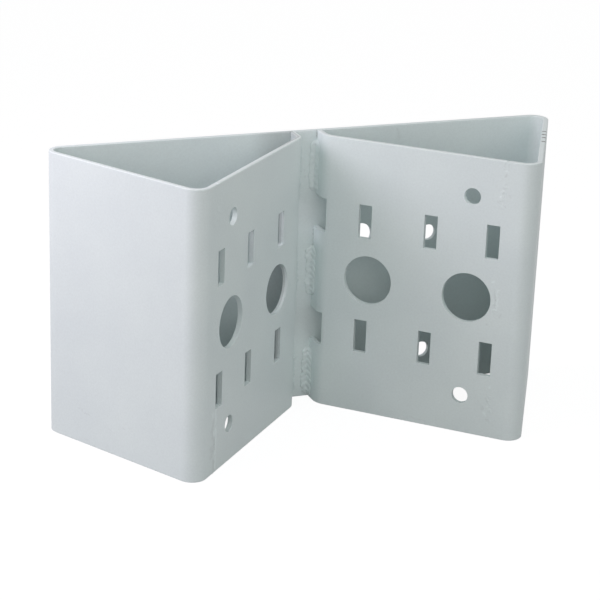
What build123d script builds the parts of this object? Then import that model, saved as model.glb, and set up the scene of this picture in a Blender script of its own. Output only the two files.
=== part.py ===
# Corner mount bracket: a folded steel shell and two wall plates, welded into one piece.
# The wall plates sit on the two faces of a building corner, the camera goes on the flat plate behind.
# Millimetres, +Z up. +X runs along the camera plate and +Y points out of it.
import os
from math import cos, radians, sin, tan

from build123d import *

os.makedirs("parts", exist_ok=True)

# Sheet and folds
height = 170.0
sheet = 3.0
side_fold_radius = 9.0
flange_fold_radius = 12.0
rim_chamfer = 0.4

# Angles of the wall plates and the side walls to the camera plate
wall_angle = 45.0
side_angle = 60.0

# Distances from the line in which the outer faces of the two wall plates would cross
wall_reach = 142.3
camera_face_setback = 8.5
channel_width = 14.0

# Openings in each wall plate: a place is the distance along the plate from that line,
# an inset the distance back from the corner of the fold at the far edge
slot_width = 8.0
slot_height = 20.5
slot_row_rise = 36.0
inner_slot_place = 37.5
middle_slot_place = 78.5
outer_slot_inset = 25.8
cable_hole_diameter = 30.0
inner_cable_hole_place = 40.7
anchor_hole_diameter = 10.0
anchor_hole_rise = 61.5
outer_hole_inset = 39.6
notch_reach = 12.3

# Openings in the camera plate
bolt_hole_diameter = 10.0
bolt_hole_spread = 167.0
bolt_hole_heights = (22.5, 100.0)
lead_hole_diameter = 15.0
lead_hole_place = 38.0
lead_hole_height = 102.0

# Welds: the seams between lips and wall plates, and the beads in the channel
seam_width = 1.2
seam_from_slot = 1.0
seam_short_of_foot = 1.0
seam_short_of_top = 0.6
bead_leg = 4.5
bead_end_taper = 2.8
bead_length = 32.0
bead_ripples = 7
bead_ripple_height = 0.4
bead_below_tab_middle = 2.5

# The plan, with the depth of the bracket centred on the origin
wall_run = radians(wall_angle)
side_run = radians(side_angle)
corner_out = wall_reach * cos(wall_run)
corner_fall = wall_reach * sin(wall_run)
fold_centre_rise = side_fold_radius * (cos(wall_run) + cos(side_run)) / (1 + cos(wall_run + side_run))
front_reach = corner_fall - fold_centre_rise + side_fold_radius
crossing_y = (front_reach - camera_face_setback) / 2
camera_face_y = crossing_y + camera_face_setback
camera_inner_y = camera_face_y - sheet
front_corner = Vector(corner_out, crossing_y - corner_fall)
back_corner = Vector(corner_out + (corner_fall + camera_face_setback) / tan(side_run), camera_face_y)
channel_half = channel_width / 2
flange_corner = Vector(channel_half, crossing_y - channel_half * tan(wall_run))
flange_end = Vector(channel_half, camera_inner_y)
middle = height / 2

# Where the openings come on the wall, and the seam just past the outermost slots
outer_slot_place = wall_reach - outer_slot_inset
outer_hole_place = wall_reach - outer_hole_inset
seam_inner = outer_slot_place + slot_width / 2 + seam_from_slot
seam_outer = seam_inner + seam_width
seam_height = height - seam_short_of_foot - seam_short_of_top

# The tabs of each flange, between the notches
notch_low = middle - slot_row_rise - slot_height / 2
notch_high = middle + slot_row_rise + slot_height / 2
tab_middles = (notch_low / 2, middle, (notch_high + height) / 2)

# The ripples fill each bead between its tapered ends
ripple_pitch = (bead_length - 2 * bead_end_taper) / bead_ripples

# A plane on the outer face of the right wall plate, X along the plate and Y up
wall_face = Plane(
    origin=(0, crossing_y, middle),
    x_dir=(cos(wall_run), -sin(wall_run), 0),
    z_dir=(-sin(wall_run), -cos(wall_run), 0),
)
camera_face = Plane(origin=(0, camera_face_y, 0), x_dir=(1, 0, 0), z_dir=(0, -1, 0))
channel_face = Plane(origin=(channel_half, camera_inner_y, 0), x_dir=(0, -1, 0), z_dir=(-1, 0, 0))


def on_wall(place):
    """The point of the plan on the outer face of the right wall plate."""
    return Vector(place * cos(wall_run), crossing_y - place * sin(wall_run))


def mirrored(point):
    """The same point of the plan on the left."""
    return Vector(-point.X, point.Y)


def rims(solid):
    """The edges along the top and the bottom of a folded sheet, without those of its ends."""
    levels = solid.edges().group_by(Axis.Z)
    return (levels[0] + levels[-1]).filter_by(lambda edge: edge.length > 1.1 * sheet)


def bead_outline(foot):
    """The side view of a bead on the flange: tapered ends and a row of ripples between them."""
    head = foot + bead_length
    tip = bead_leg - bead_end_taper
    Polyline((bead_leg, foot + bead_end_taper), (tip, foot), (0, foot), (0, head))
    Polyline((0, head), (tip, head), (bead_leg, head - bead_end_taper))
    for ripple in range(bead_ripples):
        start = foot + bead_end_taper + ripple * ripple_pitch
        summit = (bead_leg + bead_ripple_height, start + ripple_pitch / 2)
        ThreePointArc((bead_leg, start), summit, (bead_leg, start + ripple_pitch))


# Folded shell: camera plate, side walls and the lips in the plane of the wall plates
with BuildPart() as camera_plate_shell:
    with BuildSketch():
        with BuildLine():
            FilletPolyline(
                mirrored(on_wall(seam_outer)),
                mirrored(front_corner),
                mirrored(back_corner),
                back_corner,
                front_corner,
                on_wall(seam_outer),
                radius=side_fold_radius,
            )
            offset(amount=sheet, side=Side.RIGHT)
        make_face()
    extrude(amount=height)
    chamfer(rims(camera_plate_shell.part), length=rim_chamfer)
    with BuildSketch(camera_face):
        for bolt_height in bolt_hole_heights:
            with Locations((-bolt_hole_spread / 2, bolt_height), (bolt_hole_spread / 2, bolt_height)):
                Circle(bolt_hole_diameter / 2)
        with Locations((lead_hole_place, lead_hole_height)):
            Circle(lead_hole_diameter / 2)
    extrude(amount=sheet, mode=Mode.SUBTRACT)

# Right wall plate, its flange bent back to the camera plate beside the channel
with BuildPart() as right_wall_plate:
    with BuildSketch():
        with BuildLine():
            FilletPolyline(flange_end, flange_corner, on_wall(seam_inner), radius=flange_fold_radius)
            offset(amount=sheet, side=Side.LEFT)
        make_face()
    extrude(amount=height)
    chamfer(rims(right_wall_plate.part), length=rim_chamfer)
    with BuildSketch(wall_face):
        for place in (inner_slot_place, middle_slot_place, outer_slot_place):
            with Locations((place, -slot_row_rise), (place, slot_row_rise)):
                Rectangle(slot_width, slot_height)
        for place in (inner_cable_hole_place, outer_hole_place):
            with Locations((place, 0)):
                Circle(cable_hole_diameter / 2)
        with Locations((outer_hole_place, -anchor_hole_rise), (outer_hole_place, anchor_hole_rise)):
            Circle(anchor_hole_diameter / 2)
    extrude(amount=-sheet, mode=Mode.SUBTRACT)
    with BuildSketch(wall_face):
        with Locations((notch_reach, -slot_row_rise), (notch_reach, slot_row_rise)):
            Rectangle(notch_reach + sheet, slot_height, align=(Align.MAX, Align.CENTER))
    extrude(amount=-(camera_face_setback + channel_width), mode=Mode.SUBTRACT)

# Left wall plate
with BuildPart() as left_wall_plate:
    mirror(right_wall_plate.part, about=Plane.YZ)

# Ground butt weld between the right wall plate and its lip
with BuildPart() as right_seam_weld:
    with BuildSketch(wall_face):
        with Locations((seam_inner, seam_short_of_foot - middle)):
            Rectangle(seam_width, seam_height, align=(Align.MIN, Align.MIN))
    extrude(amount=-sheet)

# Ground butt weld on the left
with BuildPart() as left_seam_weld:
    mirror(right_seam_weld.part, about=Plane.YZ)

# Fillet welds between the right flange and the camera plate, one bead on each tab
with BuildPart() as right_channel_welds:
    with BuildSketch(channel_face):
        for tab_middle in tab_middles:
            with BuildLine():
                bead_outline(tab_middle - bead_below_tab_middle - bead_length / 2)
            make_face()
    revolve(axis=Axis((channel_half, camera_inner_y, 0), (0, 0, -1)), revolution_arc=90)

# Fillet welds on the left
with BuildPart() as left_channel_welds:
    mirror(right_channel_welds.part, about=Plane.YZ)

camera_plate_shell.part.label = "camera_plate_shell"
left_wall_plate.part.label = "left_wall_plate"
right_wall_plate.part.label = "right_wall_plate"
left_seam_weld.part.label = "left_seam_weld"
right_seam_weld.part.label = "right_seam_weld"
left_channel_welds.part.label = "left_channel_welds"
right_channel_welds.part.label = "right_channel_welds"

export_step(camera_plate_shell.part, "parts/camera_plate_shell.step")
export_step(left_wall_plate.part, "parts/left_wall_plate.step")
export_step(right_wall_plate.part, "parts/right_wall_plate.step")
export_step(left_seam_weld.part, "parts/left_seam_weld.step")
export_step(right_seam_weld.part, "parts/right_seam_weld.step")
export_step(left_channel_welds.part, "parts/left_channel_welds.step")
export_step(right_channel_welds.part, "parts/right_channel_welds.step")
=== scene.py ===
# %% [markdown]
# # Corner mount bracket for a camera
# The bracket is folded from 3 mm steel sheet, welded and powder-coated. Two flat plates go on the two
# faces of a building corner, and the camera goes on the flat plate behind them.
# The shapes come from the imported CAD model, which stays where it is. This script gives it its looks:
# edges that the paint has rounded, rippled weld beads, the coat itself with its marks, and studio light.
# Blender works in metres here, so a size in millimetres is written as a number times MM.

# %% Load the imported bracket
from math import cos, radians

import bmesh
import bpy
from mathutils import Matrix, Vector


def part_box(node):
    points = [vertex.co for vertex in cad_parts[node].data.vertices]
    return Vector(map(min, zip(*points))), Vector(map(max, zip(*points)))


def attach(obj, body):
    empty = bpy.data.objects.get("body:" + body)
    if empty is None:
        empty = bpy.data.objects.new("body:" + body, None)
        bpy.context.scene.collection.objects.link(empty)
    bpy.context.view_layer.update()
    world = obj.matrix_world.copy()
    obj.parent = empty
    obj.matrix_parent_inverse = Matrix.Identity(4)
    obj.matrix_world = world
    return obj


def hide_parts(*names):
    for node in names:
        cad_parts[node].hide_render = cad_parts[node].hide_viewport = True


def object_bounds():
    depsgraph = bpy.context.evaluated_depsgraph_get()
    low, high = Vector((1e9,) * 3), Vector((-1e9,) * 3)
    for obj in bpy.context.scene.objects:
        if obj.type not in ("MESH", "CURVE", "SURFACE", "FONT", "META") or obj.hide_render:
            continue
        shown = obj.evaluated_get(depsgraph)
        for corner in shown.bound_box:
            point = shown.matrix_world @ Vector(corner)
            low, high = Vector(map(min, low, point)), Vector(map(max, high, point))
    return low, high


MM = 0.001
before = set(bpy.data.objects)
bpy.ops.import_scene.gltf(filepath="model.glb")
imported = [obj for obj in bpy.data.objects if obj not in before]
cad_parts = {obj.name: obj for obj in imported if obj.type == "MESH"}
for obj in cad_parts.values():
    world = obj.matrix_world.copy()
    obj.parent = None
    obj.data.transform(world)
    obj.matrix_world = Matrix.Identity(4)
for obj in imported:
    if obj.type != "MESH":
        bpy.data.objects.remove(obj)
cad_low, cad_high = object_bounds()
print("nodes:", ", ".join(sorted(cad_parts)))
print("size in mm:", [round(side / MM, 2) for side in cad_high - cad_low])

# %% [markdown]
# ## Two small helpers
# A colour on a screen is written in sRGB, while a renderer works in linear light, so every hex value
# goes through one function. The other one adds a node to any tree: what it is, its settings, and for
# each input a value or what feeds it. With these two, a tree reads like a recipe. Two kinds of node come
# up so often, in sums with numbers and sums with vectors, that their names are written down once.

# %% Colour and node helpers
def colour(code):
    """An sRGB hex code as the linear colour that a node takes."""
    parts = [int(code[i:i + 2], 16) / 255 for i in (1, 3, 5)]
    return [p / 12.92 if p <= 0.04045 else ((p + 0.055) / 1.055) ** 2.4 for p in parts] + [1.0]


def add(tree, kind, inputs=None, **settings):
    """Adds one node to a tree. A setting is an attribute of the node.

    An input takes a plain value, a socket, or another node, which then feeds it from its first output.
    """
    node = tree.nodes.new(kind)
    for name, value in settings.items():
        setattr(node, name, value)
    for key, value in (inputs or {}).items():
        if isinstance(value, bpy.types.Node):
            value = value.outputs[0]
        if isinstance(value, bpy.types.NodeSocket):
            tree.links.new(value, node.inputs[key])
        else:
            node.inputs[key].default_value = value
    return node


MATH = "ShaderNodeMath"
VECTOR_MATH = "ShaderNodeVectorMath"
print("paint colour in linear light:", [round(part, 3) for part in colour("#DFEBEB")])

# %% [markdown]
# ## Sizes that the looks share with the drawing
# The wall plates stand at 45 degrees to the camera plate. Their outer faces would cross in one line in
# front of the channel, and places along a plate are counted from that line, as on the drawing.

# %% Sizes
LEFT, RIGHT = -1, 1
SHEET = 3 * MM
HEIGHT = cad_high.z
SLANT = cos(radians(45))
seam_low, seam_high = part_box("right_seam_weld")
bead_low, bead_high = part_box("right_channel_welds")
crossing_y = seam_low.y + seam_high.x - SHEET * SLANT
seam_place = (seam_low.x + seam_high.x - SHEET * SLANT) / 2 / SLANT
seam_width = (seam_high.x - seam_low.x) / SLANT - SHEET
flange_x = bead_high.x
plate_y = bead_high.y
print("outer faces cross at y =", round(crossing_y / MM, 2), "mm")
print("seams at", round(seam_place / MM, 2), "mm,", round(seam_width / MM, 2), "mm wide")

# %% [markdown]
# ## The camera
# It stands where the photographer stood: to the left, a little above, with a long lens that keeps the
# edges nearly parallel. The numbers were worked out from points of the bracket in the photograph.

# %% Camera
lens = bpy.data.cameras.new("camera")
lens.lens = 115.95
lens.sensor_width = 36
camera = bpy.data.objects.new("camera", lens)
camera.location = (-0.415939, -0.978722, 0.460540)
camera.rotation_euler = [radians(turn) for turn in (70.2878, -1.9529, -21.3357)]
bpy.context.scene.collection.objects.link(camera)
bpy.context.scene.camera = camera
print("camera to bracket:", round((camera.location - (cad_low + cad_high) / 2).length, 3), "m")

# %% [markdown]
# ## A stroke
# A mark in the coat is a short stroke: a line from one point to another with soft edges that darkens or
# lightens the paint. It could be a painted picture, but a picture is tied to its pixels. One node group
# measures how far the surface is from such a line instead, so a mark is as sharp as it has to be.

# %% Node group for a stroke
def socket(tree, name, kind, value=None):
    """Adds a named input to a node tree."""
    made = tree.interface.new_socket(name, in_out="INPUT", socket_type=kind)
    if value is not None:
        made.default_value = value
    return made


def stroke_tree():
    """A group that gives a tone near the line between two points, and nothing elsewhere."""
    tree = bpy.data.node_groups.new("stroke", "ShaderNodeTree")
    for name in ("Place", "From", "To"):
        socket(tree, name, "NodeSocketVector")
    socket(tree, "Width", "NodeSocketFloat", 1 * MM)
    socket(tree, "Tone", "NodeSocketFloat", -0.1)
    tree.interface.new_socket("Tone", in_out="OUTPUT", socket_type="NodeSocketFloat")
    given = add(tree, "NodeGroupInput").outputs
    line = add(tree, VECTOR_MATH, {0: given["To"], 1: given["From"]}, operation="SUBTRACT")
    reach = add(tree, VECTOR_MATH, {0: given["Place"], 1: given["From"]}, operation="SUBTRACT")
    along = add(tree, VECTOR_MATH, {0: reach, 1: line}, operation="DOT_PRODUCT").outputs["Value"]
    length = add(tree, VECTOR_MATH, {0: line, 1: line}, operation="DOT_PRODUCT").outputs["Value"]
    share = add(tree, MATH, {0: along, 1: length}, operation="DIVIDE")
    between_ends = add(tree, "ShaderNodeClamp", {"Value": share})
    nearest = add(tree, VECTOR_MATH, {0: line, "Scale": between_ends}, operation="SCALE")
    away = add(tree, VECTOR_MATH, {0: reach, 1: nearest}, operation="DISTANCE").outputs["Value"]
    tone = add(tree, "ShaderNodeMapRange", {
        "Value": away, "From Max": given["Width"], "To Min": given["Tone"], "To Max": 0.0},
        interpolation_type="SMOOTHSTEP")
    add(tree, "NodeGroupOutput", {"Tone": tone})
    return tree


stroke = stroke_tree()
print("stroke group:", len(stroke.nodes), "nodes")

# %% [markdown]
# ## Marks in the coat
# The bracket is new, but not flawless. The coat shows grinding smears and pinholes beside the seams, a
# few fine scratches low on the left side, spatter near the channel welds, four small chips on the right
# rim and thin dark joints where no weld covers a flange end. The points are places on the bracket, so a
# mark stays where it is from every side.

# %% Marks
RIM = round(HEIGHT / MM, 1)
PLATE = round(plate_y / MM, 1)


def on_wall(side, place, height):
    """A point on the outer face of a wall plate, from its place along the plate and its height in mm."""
    return Vector((side * place * SLANT * MM, crossing_y - place * SLANT * MM, height * MM))


def on_plan(x, y, height):
    """A point from its three distances in mm."""
    return Vector((x, y, height)) * MM


# A mark: where it starts and ends, how wide it is in mm, and how much lighter or darker it makes the coat.
MARKS = (
    # ground seam on the right: two nicks at the top, then smears and pinholes down to the foot
    (on_wall(RIGHT, 120.8, 165.0), on_wall(RIGHT, 120.9, 169.0), 0.9, -0.07),
    (on_wall(RIGHT, 122.9, 164.8), on_wall(RIGHT, 123.0, 169.0), 0.9, -0.07),
    (on_wall(RIGHT, 121.8, 164.3), on_wall(RIGHT, 122.3, 164.7), 1.3, 0.11),
    (on_wall(RIGHT, 122.1, 161.4), on_wall(RIGHT, 122.3, 161.9), 1.1, -0.12),
    (on_wall(RIGHT, 119.7, 148.2), on_wall(RIGHT, 120.4, 149.6), 1.2, 0.08),
    (on_wall(RIGHT, 118.0, 146.0), on_wall(RIGHT, 119.2, 144.8), 1.1, -0.07),
    (on_wall(RIGHT, 121.6, 143.6), on_wall(RIGHT, 123.0, 143.0), 1.0, -0.11),
    (on_wall(RIGHT, 124.6, 150.6), on_wall(RIGHT, 125.2, 149.2), 1.0, -0.06),
    (on_wall(RIGHT, 118.2, 97.2), on_wall(RIGHT, 118.6, 97.6), 1.4, 0.13),
    (on_wall(RIGHT, 119.5, 92.9), on_wall(RIGHT, 120.6, 87.0), 0.9, -0.09),
    (on_wall(RIGHT, 120.6, 87.0), on_wall(RIGHT, 120.2, 79.6), 0.9, -0.09),
    (on_wall(RIGHT, 121.0, 92.0), on_wall(RIGHT, 121.8, 86.5), 1.0, 0.08),
    (on_wall(RIGHT, 121.8, 86.5), on_wall(RIGHT, 121.4, 80.5), 1.0, 0.08),
    (on_wall(RIGHT, 124.0, 77.0), on_wall(RIGHT, 124.2, 77.8), 1.0, -0.07),
    (on_wall(RIGHT, 116.4, 70.3), on_wall(RIGHT, 117.0, 70.7), 1.0, -0.11),
    (on_wall(RIGHT, 121.1, 31.9), on_wall(RIGHT, 121.3, 32.7), 1.1, 0.1),
    (on_wall(RIGHT, 119.4, 24.2), on_wall(RIGHT, 120.4, 23.3), 1.1, -0.1),
    (on_wall(RIGHT, 116.8, 18.6), on_wall(RIGHT, 117.6, 17.6), 1.1, -0.09),
    (on_wall(RIGHT, 118.3, 15.7), on_wall(RIGHT, 119.2, 14.7), 1.2, 0.11),
    (on_wall(RIGHT, 120.0, 11.4), on_wall(RIGHT, 121.6, 10.8), 1.0, -0.1),
    # a faint smear along the foot of the right wall plate
    (on_wall(RIGHT, 72.5, 3.2), on_wall(RIGHT, 82.2, 2.6), 0.9, -0.04),
    # ground seam on the left: a light ridge down its lowest quarter, with smears and pits beside it
    (on_wall(LEFT, 119.6, 46.0), on_wall(LEFT, 119.9, 30.0), 1.6, 0.10),
    (on_wall(LEFT, 119.4, 27.0), on_wall(LEFT, 119.8, 12.0), 1.6, 0.12),
    (on_wall(LEFT, 119.8, 9.0), on_wall(LEFT, 119.6, 3.0), 1.6, 0.10),
    (on_wall(LEFT, 122.5, 33.0), on_wall(LEFT, 123.5, 29.0), 2.2, -0.10),
    (on_wall(LEFT, 124.5, 27.0), on_wall(LEFT, 123.0, 22.0), 2.4, -0.08),
    (on_wall(LEFT, 121.5, 20.0), on_wall(LEFT, 122.5, 14.0), 2.2, -0.12),
    (on_wall(LEFT, 125.5, 17.0), on_wall(LEFT, 124.5, 11.0), 2.4, -0.09),
    (on_wall(LEFT, 121.8, 8.0), on_wall(LEFT, 122.2, 2.0), 2.0, -0.10),
    (on_wall(LEFT, 123.8, 37.0), on_wall(LEFT, 123.0, 34.0), 1.8, 0.07),
    (on_wall(LEFT, 122.0, 26.0), on_wall(LEFT, 121.6, 23.0), 1.6, 0.07),
    # fine scratches low on the left side wall
    (on_plan(-146.6, 22.2, 21.3), on_plan(-141.5, 13.4, 18.2), 0.7, -0.07),
    (on_plan(-135.8, 3.5, 15.6), on_plan(-132.0, -3.1, 14.2), 0.6, -0.05),
    (on_plan(-128.9, -8.4, 19.2), on_plan(-128.3, -9.4, 18.6), 0.9, -0.07),
    (on_plan(-126.6, -12.4, 20.4), on_plan(-126.2, -13.1, 20.0), 0.9, -0.07),
    # chips on the right rim
    (on_plan(137.9, 12.6, RIM), on_plan(139.6, 11.8, RIM), 1.6, -0.9),
    (on_plan(134.7, 6.2, RIM), on_plan(136.4, 5.4, RIM), 1.6, -0.9),
    (on_plan(131.5, -0.1, RIM), on_plan(133.2, -0.9, RIM), 1.6, -0.9),
    (on_plan(127.2, -8.3, RIM), on_plan(128.9, -9.1, RIM), 1.6, -0.9),
    # spatter beside the lowest and the highest channel welds
    (on_plan(2.9, PLATE, 16.5), on_plan(3.1, PLATE, 16.9), 0.9, -0.18),
    (on_plan(-5.4, PLATE, 147.2), on_plan(-5.2, PLATE, 147.4), 0.8, -0.12),
    (on_plan(-2.5, PLATE, 145.2), on_plan(-2.4, PLATE, 145.4), 0.8, -0.12),
    (on_plan(-0.1, PLATE, 145.3), on_plan(0.1, PLATE, 145.4), 0.8, -0.12),
    (on_plan(0.0, PLATE, 141.9), on_plan(0.2, PLATE, 142.1), 0.8, -0.12),
    (on_plan(-2.4, PLATE, 141.8), on_plan(-2.2, PLATE, 142.0), 0.8, -0.12),
    (on_plan(-4.9, PLATE, 140.7), on_plan(-4.7, PLATE, 140.9), 0.8, -0.12),
    (on_plan(3.0, PLATE, 150.0), on_plan(3.2, PLATE, 150.2), 0.8, -0.1),
    # joints between the flange ends and the camera plate, where no weld covers them
    (on_plan(7.0, PLATE, 166.0), on_plan(7.0, PLATE, 169.8), 0.9, -0.4),
    (on_plan(7.0, PLATE, 98.6), on_plan(7.0, PLATE, 108.4), 0.9, -0.25),
    (on_plan(-10.0, PLATE, 165.2), on_plan(-10.0, PLATE, 169.8), 0.8, -0.25),
    # a smear high on the inner face of the camera plate
    (on_plan(59.5, PLATE, 167.0), on_plan(60.5, PLATE, 161.5), 2.0, -0.06),
)
print("marks:", len(MARKS))

# %% [markdown]
# ## Painted shade in the slots and in the deep corner
# The long cut faces of the slots get a darker copy of the coat: painted shade in these narrow openings.
# It is the same material at a lower brightness. Painted shade also darkens the coat deep in the left tube,
# between the flange and the camera plate. The limits of that place run through the middle of the sheets,
# so its tone doesn't show on their other sides.

# %% Painted shade in the deep corner of the left tube
SHADE_FROM = 38 * MM
DARKEST_FROM = 16 * MM


def corner_shade_mask(tree, place):
    """Where painted shade darkens the deep corner of the left tube: 0 outside it, 1 near the flange."""
    spot = add(tree, "ShaderNodeSeparateXYZ", {0: place}).outputs
    y_less_x = add(tree, MATH, {0: spot["Y"], 1: spot["X"]}, operation="SUBTRACT")
    depth = add(tree, MATH, {0: y_less_x, 1: crossing_y}, operation="SUBTRACT")
    behind_wall = add(tree, MATH, {0: depth, 1: SHEET / 2 / SLANT}, operation="GREATER_THAN")
    past_flange = add(tree, MATH, {0: spot["X"], 1: -flange_x - SHEET / 2}, operation="LESS_THAN")
    before_plate = add(tree, MATH, {0: spot["Y"], 1: plate_y + SHEET / 2}, operation="LESS_THAN")
    between = add(tree, MATH, {0: past_flange, 1: before_plate}, operation="MULTIPLY")
    inside = add(tree, MATH, {0: behind_wall, 1: between}, operation="MULTIPLY")
    near = add(tree, "ShaderNodeMapRange", {
        "Value": spot["X"], "From Min": -SHADE_FROM, "From Max": -DARKEST_FROM},
        interpolation_type="SMOOTHSTEP")
    return add(tree, MATH, {0: inside, 1: near}, operation="MULTIPLY")


# The printed span is where the painted shade in the deep corner grows.
print("coat thins out from", round(SHADE_FROM / MM), "to", round(DARKEST_FROM / MM), "mm off the middle")

# %% [markdown]
# ## Powder-coated steel
# The bracket is sprayed with dry polyester powder in light grey and baked, so one skin covers sheet and
# welds alike. To the eye that gives an even, half-matt colour and faint orange peel: soft bumps a
# millimetre or two wide. They are drawn a little coarser than real, because finer ones would be lost
# between the pixels. The colour hardly varies, just a shade where the coat is thicker or dusty. Noise
# shifts the place at which the marks are measured, so their outlines are ragged.

# %% Powder coat
CLOUD_SIZE = 45 * MM
SPECK_SIZE = 1.2 * MM
PEEL_SIZE = 2.2 * MM
PEEL_HEIGHT = 0.04 * MM
RAGGED_SIZE = 2.5 * MM
RAGGED_REACH = 2.6 * MM
# Painted shade: how much darker the deep corner of the left tube is.
CORNER_SHADE_TONE = -0.26


def coat_tone(tree, place, fleck, shade_factor):
    """How light the coat is at a place: its painted slot shade, its marks and the painted shade of the deep
    corner together.
    """
    ragged = add(tree, "ShaderNodeTexNoise", {"Vector": place, "Scale": 1 / RAGGED_SIZE, "Detail": 1.0})
    stray = add(tree, VECTOR_MATH, {0: ragged.outputs["Color"], 1: (0.5, 0.5, 0.5)}, operation="SUBTRACT")
    shift = add(tree, VECTOR_MATH, {0: stray, "Scale": RAGGED_REACH}, operation="SCALE")
    ragged_place = add(tree, VECTOR_MATH, {0: place, 1: shift}, operation="ADD")
    brightness = add(tree, MATH, {0: fleck, 1: shade_factor}, operation="MULTIPLY")
    for start, end, width, strength in MARKS:
        mark = add(tree, "ShaderNodeGroup", node_tree=stroke)
        tree.links.new(ragged_place.outputs[0], mark.inputs["Place"])
        mark.inputs["From"].default_value = start
        mark.inputs["To"].default_value = end
        mark.inputs["Width"].default_value = width * MM
        mark.inputs["Tone"].default_value = strength
        brightness = add(tree, MATH, {0: brightness, 1: mark}, operation="ADD")
    # painted shade deep in the left tube
    corner_shade = add(tree, MATH, {0: corner_shade_mask(tree, place), 1: CORNER_SHADE_TONE}, operation="MULTIPLY")
    return add(tree, MATH, {0: brightness, 1: corner_shade}, operation="ADD")


def powder_coat(name, shade_factor=1.0):
    """The coat: a half-matt light grey with orange peel and a few marks. A shade factor under 1 darkens it
    as painted shade.
    """
    material = bpy.data.materials.new(name)
    material.use_nodes = True
    tree = material.node_tree
    tree.nodes.clear()
    place = add(tree, "ShaderNodeTexCoord").outputs["Object"]
    clouds = add(tree, "ShaderNodeTexNoise", {"Vector": place, "Scale": 1 / CLOUD_SIZE, "Detail": 3.0})
    specks = add(tree, "ShaderNodeTexNoise", {"Vector": place, "Scale": 1 / SPECK_SIZE, "Detail": 2.0})
    peel = add(tree, "ShaderNodeTexNoise", {"Vector": place, "Scale": 1 / PEEL_SIZE, "Detail": 1.0})
    shade = add(tree, "ShaderNodeMapRange", {"Value": clouds, "From Min": 0.35, "From Max": 0.65})
    tone = add(tree, "ShaderNodeMix", {
        "Factor": shade, 6: colour("#DDE9E9"), 7: colour("#E1EDEC")}, data_type="RGBA")
    fleck = add(tree, "ShaderNodeMapRange", {
        "Value": specks, "From Min": 0.3, "From Max": 0.7, "To Min": 0.98, "To Max": 1.02})
    tint = add(tree, VECTOR_MATH, {
        0: tone.outputs[2], "Scale": coat_tone(tree, place, fleck, shade_factor)}, operation="SCALE")
    gloss = add(tree, "ShaderNodeMapRange", {
        "Value": clouds, "From Min": 0.3, "From Max": 0.7, "To Min": 0.40, "To Max": 0.50})
    bump = add(tree, "ShaderNodeBump", {"Height": peel, "Strength": 0.5, "Distance": PEEL_HEIGHT})
    skin = add(tree, "ShaderNodeBsdfPrincipled", {
        "Base Color": tint, "Roughness": gloss, "Normal": bump, "IOR": 1.5})
    add(tree, "ShaderNodeOutputMaterial", {"Surface": skin})
    return material


coat = powder_coat("powder_coated_steel")
# The slot sides get a darker copy of the coat: painted shade.
slot_shade_coat = powder_coat("thin_coat_in_slots", shade_factor=0.86)
print("materials:", coat.name, "and", slot_shade_coat.name)

# %% [markdown]
# ## The folded sheets
# A laser leaves a sharp edge, but it is deburred and the powder then flows round it, so each rim and
# hole of the real bracket has a small soft edge that catches the light. The CAD sheets have the right
# shape with sharp edges. A copy of each one has its loose triangles merged into whole faces, and a
# Bevel modifier rounds its edges by their weight. Ends that the seam weld fills get none, so the seam
# stays flush. The flange ends get the most, which leaves the thin dark joint that shows where a flange
# meets the camera plate between two welds.

# %% Which edges are rounded, and which faces are slot sides
EDGE_ROUNDING = 0.35 * MM
JOINT_ROUNDING = 0.7 * MM
CREASE = radians(30)
TOUCH = 0.05 * MM
CHANNEL_REACH = 12 * MM
FOLD_END = 20 * MM
LEAST_SLOT_HEIGHT = 10 * MM
MOST_SLOT_HEIGHT = 30 * MM


def place_on_wall(point):
    """How far a point lies along its wall plate, from the line in which the outer faces cross."""
    return (abs(point.x) - point.y + crossing_y) * SLANT


def is_slot_side(face):
    """Whether a face is one of the two long cut faces of a strap slot."""
    levels = [corner.co.z for corner in face.verts]
    middle = face.calc_center_median()
    depth = (abs(middle.x) + middle.y - crossing_y) * SLANT
    between_skins = 0.1 * SHEET < depth < 0.9 * SHEET
    clear_of_folds = FOLD_END < place_on_wall(middle) < seam_place - seam_width
    slot_high = LEAST_SLOT_HEIGHT < max(levels) - min(levels) < MOST_SLOT_HEIGHT
    return between_skins and clear_of_folds and slot_high


def edge_weight(edge):
    """How much one edge is rounded, as a share of the widest rounding."""
    if len(edge.link_faces) != 2 or edge.calc_face_angle() < CREASE:
        return 0.0
    ends = [corner.co for corner in edge.verts]
    if all(abs(abs(place_on_wall(end) - seam_place) - seam_width / 2) < TOUCH for end in ends):
        return 0.0
    if all(abs(end.y - plate_y) < TOUCH and abs(end.x) < CHANNEL_REACH for end in ends):
        return 1.0
    return EDGE_ROUNDING / JOINT_ROUNDING


print("edges rounded by", EDGE_ROUNDING / MM, "mm, flange ends by", JOINT_ROUNDING / MM, "mm")

# %% [markdown]
# ## One coated sheet
# The loose triangles of the CAD mesh meet in doubled points. Once these are merged, triangles that lie
# in one plane can be dissolved into a whole face, and only then does an edge have two faces to measure
# a crease by. The Weighted Normal modifier keeps the large faces flat beside their rounded edges.

# %% Sheets with rounded edges
SAME_POINT = 0.002 * MM
SAME_PLANE = radians(0.3)


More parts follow.
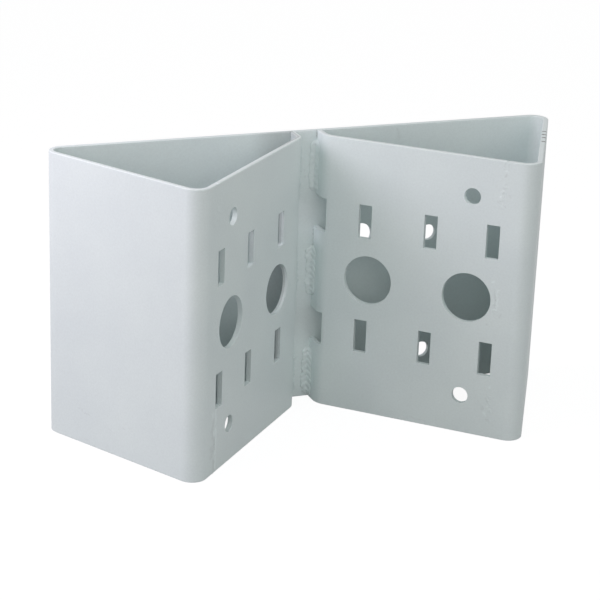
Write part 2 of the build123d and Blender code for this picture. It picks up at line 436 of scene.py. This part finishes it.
def coated_sheet(node, name):
    """A copy of a CAD sheet with its cut edges rounded, which stands for that node."""
    mesh = bpy.data.meshes.new(name)
    work = bmesh.new()
    work.from_mesh(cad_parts[node].data)
    bmesh.ops.remove_doubles(work, verts=work.verts, dist=SAME_POINT)
    bmesh.ops.dissolve_limit(work, angle_limit=SAME_PLANE, verts=work.verts, edges=work.edges)
    weight = work.edges.layers.float.new("bevel_weight_edge")
    for face in work.faces:
        face.smooth = True
        # Slot sides take the second material, the coat with painted shade.
        face.material_index = int(is_slot_side(face))
    for edge in work.edges:
        edge[weight] = edge_weight(edge)
        if len(edge.link_faces) == 2 and edge[weight] == 0:
            edge.smooth = edge.calc_face_angle() < CREASE
    rounded = sum(edge[weight] > 0 for edge in work.edges)
    slot_sides = sum(face.material_index for face in work.faces)
    work.to_mesh(mesh)
    work.free()
    mesh.materials.append(coat)
    mesh.materials.append(slot_shade_coat)
    piece = bpy.data.objects.new(name, mesh)
    bpy.context.scene.collection.objects.link(piece)
    rounding = piece.modifiers.new("rounded edges", "BEVEL")
    rounding.width = JOINT_ROUNDING
    rounding.segments = 3
    rounding.limit_method = "WEIGHT"
    flat_shading = piece.modifiers.new("flat faces shade flat", "WEIGHTED_NORMAL")
    flat_shading.keep_sharp = True
    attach(piece, "root")
    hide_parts(node)
    print(name, "has", len(mesh.polygons), "faces,", slot_sides, "slot sides and", rounded, "rounded edges")
    return piece


for node in ("camera_plate_shell", "left_wall_plate", "right_wall_plate"):
    coated_sheet(node, "coated_" + node)

# %% [markdown]
# ## From a tree to a plain piece
# The welds come from Geometry Nodes. Each tree starts with named inputs for its sizes and ends by turning
# its copies into real geometry with a finish. It is tried out on a small carrier object, whose inputs are
# set by their identifiers. The result is then copied into a plain mesh, because the finished part holds
# no live instances.

# %% Start and end a tree
def piece_tree(name, sizes, counts):
    """A new tree with an input for each size and number, and for the finish. Also gives these inputs."""
    tree = bpy.data.node_groups.new(name, "GeometryNodeTree")
    for key, value in sizes.items():
        socket(tree, key, "NodeSocketFloat", value)
    for key, value in counts.items():
        socket(tree, key, "NodeSocketInt", value)
    socket(tree, "Finish", "NodeSocketMaterial")
    tree.interface.new_socket("Geometry", in_out="OUTPUT", socket_type="NodeSocketGeometry")
    return tree, add(tree, "NodeGroupInput").outputs


def end_tree(tree, given, shape):
    """The last nodes of a tree: its copies become real geometry and get the finish."""
    real = add(tree, "GeometryNodeRealizeInstances", {"Geometry": shape})
    finish = add(tree, "GeometryNodeSetMaterial", {"Geometry": real, "Material": given["Finish"]})
    add(tree, "NodeGroupOutput", {"Geometry": finish})
    print(tree.name, "tree:", len(tree.nodes), "nodes")


# %% Make a piece from a tree
def piece_from_tree(tree, name, node, **inputs):
    """Runs a tree with the given inputs and keeps its result as a plain mesh that stands for a CAD node."""
    carrier = bpy.data.objects.new(name + "_carrier", bpy.data.meshes.new(name + "_carrier"))
    bpy.context.scene.collection.objects.link(carrier)
    modifier = carrier.modifiers.new("tree", "NODES")
    modifier.node_group = tree
    for item in tree.interface.items_tree:
        key = item.name.lower().replace(" ", "_")
        if item.in_out == "INPUT" and key in inputs:
            modifier[item.identifier] = inputs[key]
    bpy.context.view_layer.update()
    shown = carrier.evaluated_get(bpy.context.evaluated_depsgraph_get())
    mesh = bpy.data.meshes.new_from_object(shown)
    mesh.name = name
    carrier.modifiers.remove(modifier)
    bpy.data.objects.remove(carrier)
    piece = bpy.data.objects.new(name, mesh)
    bpy.context.scene.collection.objects.link(piece)
    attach(piece, "root")
    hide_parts(node)
    print(name, "has", len(mesh.polygons), "faces")
    return piece


# %% [markdown]
# ## The section of a weld bead
# Each flange is joined to the camera plate by three short fillet welds. Cut across, such a bead is a
# solid triangle in the corner between the two sheets, whose long side is a little hollowed. Seen from the
# line of the corner, each point of its skin has an angle and a radius. The angle runs from just under the
# flange, over the open side, to just under the plate, and on round the back, so that the skin is closed.

# %% Angle and section of a bead
SUNK = radians(12)
OPEN_ANGLE = radians(90)
OPEN_SHARE = 0.8


def arch(tree, share):
    """A round arch: 1 where the share is 0, and 0 where it is -1 or 1."""
    squared = add(tree, MATH, {0: share, 1: share}, operation="MULTIPLY")
    return add(tree, MATH, {0: 1.0, 1: squared}, operation="SUBTRACT")


def bead_angle(tree, around):
    """The angle of a point of the skin, and how far it lies on the open side, from 0 to 1."""
    shown = add(tree, "ShaderNodeMapRange", {
        "Value": around, "From Max": OPEN_SHARE, "To Min": -SUNK, "To Max": OPEN_ANGLE + SUNK})
    hidden = add(tree, "ShaderNodeMapRange", {
        "Value": around, "From Min": OPEN_SHARE, "To Max": radians(360) - OPEN_ANGLE - 2 * SUNK})
    angle = add(tree, MATH, {0: shown, 1: hidden}, operation="ADD")
    rise = add(tree, "ShaderNodeMapRange", {
        "Value": angle, "From Min": -SUNK, "From Max": 0.0}, interpolation_type="SMOOTHSTEP")
    fall = add(tree, "ShaderNodeMapRange", {
        "Value": angle, "From Min": OPEN_ANGLE, "From Max": OPEN_ANGLE + SUNK,
        "To Min": 1.0, "To Max": 0.0}, interpolation_type="SMOOTHSTEP")
    return angle, add(tree, MATH, {0: rise, 1: fall}, operation="MULTIPLY")


def bead_section(tree, given, cosine, sine, crown):
    """The radius of the plain skin: the long side of the triangle, hollowed towards its middle."""
    across = add(tree, MATH, {0: cosine}, operation="ABSOLUTE")
    deep = add(tree, MATH, {0: sine}, operation="ABSOLUTE")
    spread = add(tree, MATH, {0: across, 1: deep}, operation="ADD")
    flat = add(tree, MATH, {0: given["Leg"], 1: spread}, operation="DIVIDE")
    hollow = add(tree, MATH, {0: crown, 1: given["Hollow"]}, operation="MULTIPLY")
    dip = add(tree, MATH, {0: hollow, 1: 0.0}, operation="MAXIMUM")
    left_over = add(tree, MATH, {0: 1.0, 1: dip}, operation="SUBTRACT")
    return add(tree, MATH, {0: flat, 1: left_over}, operation="MULTIPLY")


print("a bead opens over", round(OPEN_SHARE * 100), "percent of its grid")

# %% [markdown]
# ## Ripples and ends
# Along its length a bead is a row of frozen puddles: ripples about 3.8 mm apart. They bow towards the
# end that was welded first, here the upper one, because a puddle freezes from its rounded tail. The
# higher a bead, the calmer they are. At both ends the bead sinks to nothing.

# %% Ripples and tapered ends
RIPPLE_PITCH = 3.8 * MM
END_TAPER = 5 * MM


def ripples(tree, given, along, crown, number):
    """How far the puddles stand out from the plain skin."""
    bow = add(tree, MATH, {0: given["Ripple Bow"], 1: crown}, operation="MULTIPLY")
    pitches = add(tree, MATH, {0: along, 1: given["Ripple Pitch"]}, operation="DIVIDE")
    step = add(tree, MATH, {0: pitches, 1: bow}, operation="SUBTRACT")
    part = add(tree, MATH, {0: step}, operation="FRACT")
    doubled = add(tree, MATH, {0: part, 1: 2.0}, operation="MULTIPLY")
    saw = add(tree, MATH, {0: doubled, 1: 1.0}, operation="SUBTRACT")
    squared = add(tree, MATH, {0: number, 1: number}, operation="MULTIPLY")
    calm = add(tree, MATH, {0: squared, 1: given["Calmer Upward"]}, operation="MULTIPLY")
    lively = add(tree, MATH, {0: 1.0, 1: calm}, operation="SUBTRACT")
    height = add(tree, MATH, {0: given["Ripple Height"], 1: lively}, operation="MULTIPLY")
    return add(tree, MATH, {0: height, 1: arch(tree, saw)}, operation="MULTIPLY")


def ramp(tree, distance, length):
    """Grows from 0 to 1 over a length, and stays 1 after it."""
    share = add(tree, MATH, {0: distance, 1: length}, operation="DIVIDE")
    return add(tree, MATH, {0: share, 1: 1.0}, operation="MINIMUM")


def end_taper(tree, given, along):
    """The share of its full radius that a bead has at a place along it."""
    start = ramp(tree, along, given["End Taper"])
    rest = add(tree, MATH, {0: given["Bead Length"], 1: along}, operation="SUBTRACT")
    stop = ramp(tree, rest, given["End Taper"])
    both = add(tree, MATH, {0: start, 1: stop}, operation="MULTIPLY")
    near_end = add(tree, MATH, {0: 1.0, 1: both}, operation="SUBTRACT")
    return add(tree, MATH, {0: arch(tree, near_end)}, operation="SQRT")


print("ripples every", round(RIPPLE_PITCH / MM, 1), "mm, ends tapered over", round(END_TAPER / MM), "mm")

# %% [markdown]
# ## Rippled weld beads
# The beads could be modelled one by one, but they follow a rule, so Geometry Nodes make them: a flat
# grid is repeated, one for each bead, and rolled round the corner, at the angle and radius of the cells
# above. Noise at its own place then makes each bead uneven, as hand-made welds are.

# %% Flat grids, one for each bead, and the noise on them
BEAD_NOISE_SIZE = 4 * MM


def bead_grids(tree, given):
    """A stack of flat grids one unit apart, so that a grid's height is its number."""
    grid = add(tree, "GeometryNodeMeshGrid", {
        "Size X": 1.0, "Size Y": 1.0, "Vertices X": 120, "Vertices Y": 30})
    stack = add(tree, "GeometryNodeMeshLine", {
        "Count": given["Beads"], "Start Location": (0, 0, 0), "Offset": (0, 0, 1)})
    copies = add(tree, "GeometryNodeInstanceOnPoints", {"Points": stack, "Instance": grid})
    return add(tree, "GeometryNodeRealizeInstances", {"Geometry": copies})


def roughened(tree, given, beads):
    """The beads with noise that swells and shrinks them round the line of the corner."""
    here = add(tree, "GeometryNodeInputPosition")
    noise = add(tree, "ShaderNodeTexNoise", {
        "Vector": here, "W": given["Seed"], "Scale": 1 / BEAD_NOISE_SIZE, "Detail": 1.0},
        noise_dimensions="4D")
    corner_x = add(tree, MATH, {0: given["Side"], 1: given["Corner X"]}, operation="MULTIPLY")
    corner = add(tree, "ShaderNodeCombineXYZ", {"X": corner_x, "Y": given["Corner Y"]})
    from_corner = add(tree, VECTOR_MATH, {0: here, 1: corner}, operation="SUBTRACT")
    level = add(tree, VECTOR_MATH, {0: from_corner, 1: (1.0, 1.0, 0.0)}, operation="MULTIPLY")
    either_way = add(tree, MATH, {0: noise, 1: 0.5}, operation="SUBTRACT")
    swell = add(tree, MATH, {0: given["Unevenness"], 1: either_way}, operation="MULTIPLY")
    shift = add(tree, VECTOR_MATH, {0: level, "Scale": swell}, operation="SCALE")
    return add(tree, "GeometryNodeSetPosition", {"Geometry": beads, "Offset": shift})


print("noise in the beads:", round(BEAD_NOISE_SIZE / MM), "mm wide")

# %% Node tree for a column of weld beads
def weld_bead_tree():
    """Beads in the corner between a flange and the camera plate, one above the other."""
    tree, given = piece_tree("weld_bead_column", {
        "Corner X": flange_x, "Corner Y": plate_y, "Side": 1.0, "Foot": bead_low.z,
        "Bead Spacing": 65.6 * MM, "Bead Length": 32 * MM, "Leg": 4.5 * MM, "Root": 0.8 * MM,
        "End Taper": END_TAPER, "Ripple Pitch": RIPPLE_PITCH, "Ripple Height": 0.75 * MM, "Ripple Bow": 0.6,
        "Calmer Upward": 0.15, "Hollow": 0.45, "Unevenness": 0.7, "Seed": 3.0}, {"Beads": 3})
    grids = bead_grids(tree, given)
    spot = add(tree, "ShaderNodeSeparateXYZ", {0: add(tree, "GeometryNodeInputPosition")}).outputs
    number = spot["Z"]
    along_share = add(tree, MATH, {0: spot["X"], 1: 0.5}, operation="ADD")
    along = add(tree, MATH, {0: along_share, 1: given["Bead Length"]}, operation="MULTIPLY")
    around = add(tree, MATH, {0: spot["Y"], 1: 0.5}, operation="ADD")

    angle, open_side = bead_angle(tree, around)
    cosine = add(tree, MATH, {0: angle}, operation="COSINE")
    sine = add(tree, MATH, {0: angle}, operation="SINE")
    halves = add(tree, MATH, {0: angle, 1: OPEN_ANGLE / 2}, operation="DIVIDE")
    crown = arch(tree, add(tree, MATH, {0: halves, 1: 1.0}, operation="SUBTRACT"))
    body = bead_section(tree, given, cosine, sine, crown)
    over_root = add(tree, MATH, {0: body, 1: given["Root"]}, operation="SUBTRACT")
    puddles = ripples(tree, given, along, crown, number)
    full = add(tree, MATH, {0: over_root, 1: puddles}, operation="ADD")
    opened = add(tree, MATH, {0: open_side, 1: full}, operation="MULTIPLY")
    thickness = add(tree, MATH, {0: given["Root"], 1: opened}, operation="ADD")
    radius = add(tree, MATH, {0: end_taper(tree, given, along), 1: thickness}, operation="MULTIPLY")

    to_side = add(tree, MATH, {0: radius, 1: cosine}, operation="MULTIPLY")
    from_middle = add(tree, MATH, {0: given["Corner X"], 1: to_side}, operation="SUBTRACT")
    x = add(tree, MATH, {0: given["Side"], 1: from_middle}, operation="MULTIPLY")
    to_front = add(tree, MATH, {0: radius, 1: sine}, operation="MULTIPLY")
    y = add(tree, MATH, {0: given["Corner Y"], 1: to_front}, operation="SUBTRACT")
    in_bead = add(tree, MATH, {0: given["Foot"], 1: along}, operation="ADD")
    step_up = add(tree, MATH, {0: number, 1: given["Bead Spacing"]}, operation="MULTIPLY")
    z = add(tree, MATH, {0: in_bead, 1: step_up}, operation="ADD")
    position = add(tree, "ShaderNodeCombineXYZ", {"X": x, "Y": y, "Z": z})
    rolled = add(tree, "GeometryNodeSetPosition", {"Geometry": grids, "Position": position})
    closed = add(tree, "GeometryNodeMergeByDistance", {"Geometry": rolled, "Distance": 0.01 * MM})
    facing_in = add(tree, "FunctionNodeCompare", {
        0: given["Side"], 1: 0.0}, data_type="FLOAT", operation="GREATER_THAN")
    outward = add(tree, "GeometryNodeFlipFaces", {"Mesh": closed, "Selection": facing_in})
    uneven = roughened(tree, given, outward)
    smooth = add(tree, "GeometryNodeSetShadeSmooth", {"Geometry": uneven})
    end_tree(tree, given, smooth)
    return tree


bead_tree = weld_bead_tree()
for side, label, seed in ((RIGHT, "right", 3.0), (LEFT, "left", 8.0)):
    piece_from_tree(bead_tree, label + "_rippled_beads", label + "_channel_welds",
                    finish=coat, side=float(side), seed=seed)

# %% [markdown]
# ## Ground stitches
# The lip of each side wall is butt-welded to its wall plate and ground flush. On its outer side the seam
# was stitched in three places, and there the disc has left a patch of low lumps and smears, which the
# coat shows as faint blotches. A stitch is a flat box just under the skin, whose outer face noise pushes
# through the skin here and there. It is repeated up the seam, and the noise at its own place makes each
# one different. A stored attribute holds how much of a lump each point may have, so that the lumps fade
# out towards the edges of the box.

# %% Stitches
STITCH_DEPTH = 1 * MM
STITCH_UNDER_SKIN = 0.04 * MM
LUMP_THRESHOLD = 0.45


def stitch_block(tree, given):
    """One stitch: a flat box that keeps for each point how high a lump may rise there."""
    size = add(tree, "ShaderNodeCombineXYZ", {
        "X": given["Stitch Width"], "Y": STITCH_DEPTH, "Z": given["Stitch Length"]})
    block = add(tree, "GeometryNodeMeshCube", {
        "Size": size, "Vertices X": 22, "Vertices Y": 2, "Vertices Z": 96})
    spot = add(tree, "ShaderNodeSeparateXYZ", {0: add(tree, "GeometryNodeInputPosition")}).outputs
    fades = []
    for axis, span in (("X", "Stitch Width"), ("Z", "Stitch Length")):
        off_middle = add(tree, MATH, {0: spot[axis]}, operation="ABSOLUTE")
        reach = add(tree, MATH, {0: off_middle, 1: given[span]}, operation="DIVIDE")
        fades.append(add(tree, "ShaderNodeMapRange", {
            "Value": reach, "From Min": 0.5, "From Max": 0.25}, interpolation_type="SMOOTHSTEP"))
    outer = add(tree, "FunctionNodeCompare", {
        0: spot["Y"], 1: 0.0}, data_type="FLOAT", operation="LESS_THAN")
    fade = add(tree, MATH, {0: fades[0], 1: fades[1]}, operation="MULTIPLY")
    share = add(tree, MATH, {0: fade, 1: outer}, operation="MULTIPLY")
    return add(tree, "GeometryNodeStoreNamedAttribute", {
        "Geometry": block, "Name": "lump_share", "Value": share}, data_type="FLOAT", domain="POINT")


def stitches(tree, given, half_sheet):
    """The stitches in a column, with their lumps."""
    under_skin = add(tree, MATH, {
        0: STITCH_DEPTH / 2 + STITCH_UNDER_SKIN, 1: half_sheet}, operation="SUBTRACT")
    lowest = add(tree, MATH, {0: given["Stitch Spacing"], 1: -1.0}, operation="MULTIPLY")
    start = add(tree, "ShaderNodeCombineXYZ", {"X": given["Stitch Offset"], "Y": under_skin, "Z": lowest})
    step_up = add(tree, "ShaderNodeCombineXYZ", {"Z": given["Stitch Spacing"]})
    ladder = add(tree, "GeometryNodeMeshLine", {
        "Count": given["Stitches"], "Start Location": start, "Offset": step_up})
    copies = add(tree, "GeometryNodeInstanceOnPoints", {
        "Points": ladder, "Instance": stitch_block(tree, given)})
    column = add(tree, "GeometryNodeRealizeInstances", {"Geometry": copies})
    lumps = add(tree, "ShaderNodeTexNoise", {
        "Vector": add(tree, "GeometryNodeInputPosition"), "W": given["Seed"],
        "Scale": add(tree, MATH, {0: 1.0, 1: given["Lump Size"]}, operation="DIVIDE"),
        "Detail": 2.0}, noise_dimensions="4D")
    share = add(tree, "GeometryNodeInputNamedAttribute", {"Name": "lump_share"}, data_type="FLOAT")
    most = add(tree, MATH, {0: share, 1: given["Lump Height"]}, operation="MULTIPLY")
    over = add(tree, MATH, {0: lumps, 1: LUMP_THRESHOLD}, operation="SUBTRACT")
    part = add(tree, MATH, {0: over, 1: 0.0}, operation="MAXIMUM")
    rise = add(tree, MATH, {0: most, 1: part}, operation="MULTIPLY")
    outward = add(tree, MATH, {0: rise, 1: -1.0}, operation="MULTIPLY")
    shift = add(tree, "ShaderNodeCombineXYZ", {"Y": outward})
    lumpy = add(tree, "GeometryNodeSetPosition", {"Geometry": column, "Offset": shift})
    return add(tree, "GeometryNodeSetShadeSmooth", {"Geometry": lumpy})


print("a stitch lies", round(STITCH_UNDER_SKIN / MM, 2), "mm under the skin")

# %% [markdown]
# ## Ground seams
# The joint itself is a level strip of weld, a plain fine box. Strip and stitches are built flat, with
# the seam along Z, and the tree then stands them in the wall plate.

# %% Node tree for a ground seam
SEAM_SHORT_OF_RIM = 0.25 * MM


def stood_in_wall(tree, given, shape, half_sheet):
    """Turns a flat seam by 45 degrees and moves it to its place in the wall plate."""
    spot = add(tree, "ShaderNodeSeparateXYZ", {0: add(tree, "GeometryNodeInputPosition")}).outputs
    half_length = add(tree, MATH, {0: given["Length"], 1: 0.5}, operation="MULTIPLY")
    middle = add(tree, MATH, {0: given["Foot"], 1: half_length}, operation="ADD")
    place = add(tree, MATH, {0: given["Place"], 1: spot["X"]}, operation="ADD")
    depth = add(tree, MATH, {0: spot["Y"], 1: half_sheet}, operation="ADD")
    outward = add(tree, MATH, {0: place, 1: depth}, operation="ADD")
    slanted = add(tree, MATH, {0: outward, 1: SLANT}, operation="MULTIPLY")
    x = add(tree, MATH, {0: given["Side"], 1: slanted}, operation="MULTIPLY")
    backward = add(tree, MATH, {0: depth, 1: place}, operation="SUBTRACT")
    behind = add(tree, MATH, {0: backward, 1: SLANT}, operation="MULTIPLY")
    y = add(tree, MATH, {0: given["Crossing Y"], 1: behind}, operation="ADD")
    z = add(tree, MATH, {0: spot["Z"], 1: middle}, operation="ADD")
    position = add(tree, "ShaderNodeCombineXYZ", {"X": x, "Y": y, "Z": z})
    return add(tree, "GeometryNodeSetPosition", {"Geometry": shape, "Position": position})


def ground_seam_tree():
    """A flush strip of weld in a wall plate, with ground stitches on its outer side."""
    tree, given = piece_tree("ground_seam", {
        "Place": seam_place, "Crossing Y": crossing_y, "Side": 1.0, "Foot": SEAM_SHORT_OF_RIM,
        "Length": HEIGHT - 2 * SEAM_SHORT_OF_RIM, "Width": seam_width, "Sheet": SHEET,
        "Stitch Width": 5.6 * MM, "Stitch Length": 26 * MM, "Stitch Spacing": 66 * MM,
        "Stitch Offset": -1.2 * MM, "Lump Size": 2.6 * MM, "Lump Height": 1.2 * MM, "Seed": 5.0},
        {"Stitches": 3})
    half_sheet = add(tree, MATH, {0: given["Sheet"], 1: 0.5}, operation="MULTIPLY")
    size = add(tree, "ShaderNodeCombineXYZ", {
        "X": given["Width"], "Y": given["Sheet"], "Z": given["Length"]})
    strip = add(tree, "GeometryNodeMeshCube", {
        "Size": size, "Vertices X": 3, "Vertices Y": 3, "Vertices Z": 60})
    both = add(tree, "GeometryNodeJoinGeometry")
    tree.links.new(strip.outputs[0], both.inputs[0])
    tree.links.new(stitches(tree, given, half_sheet).outputs[0], both.inputs[0])
    stood = stood_in_wall(tree, given, both, half_sheet)
    turned = add(tree, "FunctionNodeCompare", {
        0: given["Side"], 1: 0.0}, data_type="FLOAT", operation="LESS_THAN")
    outward = add(tree, "GeometryNodeFlipFaces", {"Mesh": stood, "Selection": turned})
    clean = add(tree, "GeometryNodeRemoveAttribute", {"Geometry": outward, "Name": "lump_share"})
    end_tree(tree, given, clean)
    return tree


seam_tree = ground_seam_tree()
for side, label, seed in ((RIGHT, "right", 5.0), (LEFT, "left", 9.0)):
    piece_from_tree(seam_tree, label + "_ground_seam", label + "_seam_weld",
                    finish=coat, side=float(side), seed=seed)

# %% [markdown]
# ## Floor and backdrop
# The photograph has a pure white ground. A pale floor under plain light would come out grey, so its
# material mixes in white for the rays that come straight from the camera or by way of a mirroring or
# clear surface. The rays that carry the light of the lamps don't see that white. A share of the lit floor
# stays in the mix, so the bracket keeps its soft shadow, and a little extra white makes up for that share.

# %% White floor
LIT_SHARE = 0.35
EXTRA_WHITE = 0.80


def shows_ground(tree):
    """1 for the rays that show the ground: those of the camera, and mirrored or passed ones."""
    rays = add(tree, "ShaderNodeLightPath").outputs
    mirrored = add(tree, MATH, {0: rays["Is Camera Ray"], 1: rays["Is Glossy Ray"]}, operation="MAXIMUM")
    return add(tree, MATH, {0: mirrored, 1: rays["Is Transmission Ray"]}, operation="MAXIMUM")


def studio_white(name):
    """A pale floor that shows as white, with a share of its own light and shade."""
    material = bpy.data.materials.new(name)
    material.use_nodes = True
    tree = material.node_tree
    tree.nodes.clear()
    lit = add(tree, "ShaderNodeBsdfDiffuse", {"Color": colour("#A3A5A6")})
    white = add(tree, "ShaderNodeEmission", {"Color": colour("#FFFFFF"), "Strength": 1.0})
    share = add(tree, MATH, {0: shows_ground(tree), 1: 1 - LIT_SHARE}, operation="MULTIPLY")
    both = add(tree, "ShaderNodeMixShader", {0: share, 1: lit, 2: white})
    from_camera = add(tree, "ShaderNodeLightPath").outputs["Is Camera Ray"]
    strength = add(tree, MATH, {0: from_camera, 1: EXTRA_WHITE * LIT_SHARE}, operation="MULTIPLY")
    extra = add(tree, "ShaderNodeEmission", {"Color": colour("#FFFFFF"), "Strength": strength})
    floor_light = add(tree, "ShaderNodeAddShader", {0: both, 1: extra})
    add(tree, "ShaderNodeOutputMaterial", {"Surface": floor_light})
    return material


def studio_floor(half):
    """A level sheet under the bracket, wide enough to fill the view."""
    mesh = bpy.data.meshes.new("studio_floor")
    work = bmesh.new()
    bmesh.ops.create_grid(work, x_segments=8, y_segments=8, size=half)
    work.to_mesh(mesh)
    work.free()
    mesh.materials.append(studio_white("studio_white"))
    floor = bpy.data.objects.new("studio_floor", mesh)
    bpy.context.scene.collection.objects.link(floor)
    return floor


floor = studio_floor(half=6.0)
print("floor:", len(floor.data.polygons), "faces")

# %% [markdown]
# ## Light
# The brightest face looks left, and the far ones are shaded by the left wing, so the main light is a
# large soft window on the left, with a small one nearer the bracket. A very large one behind the camera
# and a small one before it fill the front, a small one on the right lifts the left wall plate, and a pale
# sky fills the rest.

# %% Lamps
def window(name, spot, aim, size, watts, tint):
    """A square soft light at a place, turned to a point."""
    light = bpy.data.lights.new(name, "AREA")
    light.shape = "RECTANGLE"
    light.size = size
    light.size_y = size
    light.energy = watts
    light.color = colour(tint)[:3]
    lamp = bpy.data.objects.new(name, light)
    lamp.location = spot
    lamp.rotation_euler = (Vector(aim) - Vector(spot)).to_track_quat("-Z", "Y").to_euler()
    bpy.context.scene.collection.objects.link(lamp)
    return lamp


centre = (cad_low + cad_high) / 2
window("left_window", (-0.90, -0.20, 0.45), centre, size=0.6, watts=1.38, tint="#FFF5F9")
window("left_card", (-0.45, 0.05, 0.39), centre, size=0.25, watts=1.0, tint="#FFF0FF")
window("front_card", (-0.22, -0.50, 0.40), centre, size=0.3, watts=0.21, tint="#FFF2EB")
window("right_card", (0.20, -0.40, 0.36), (-0.05, 0.0, 0.16), size=0.2, watts=0.18, tint="#FFFDFC")
window("front_window", (-0.30, -1.80, 0.50), centre, size=1.6, watts=4.45, tint="#FFFBFD")

# %% Sky
world = bpy.data.worlds.new("studio")
world.use_nodes = True
world.node_tree.nodes.clear()
soft = add(world.node_tree, "ShaderNodeBackground", {"Color": colour("#FFFDFD"), "Strength": 0.48})
white = add(world.node_tree, "ShaderNodeBackground", {"Color": colour("#FFFFFF"), "Strength": 1.0})
sky = add(world.node_tree, "ShaderNodeMixShader", {0: shows_ground(world.node_tree), 1: soft, 2: white})
add(world.node_tree, "ShaderNodeOutputWorld", {"Surface": sky})
bpy.context.scene.world = world
bpy.context.scene.view_settings.view_transform = "Standard"
print("sky:", len(world.node_tree.nodes), "nodes")
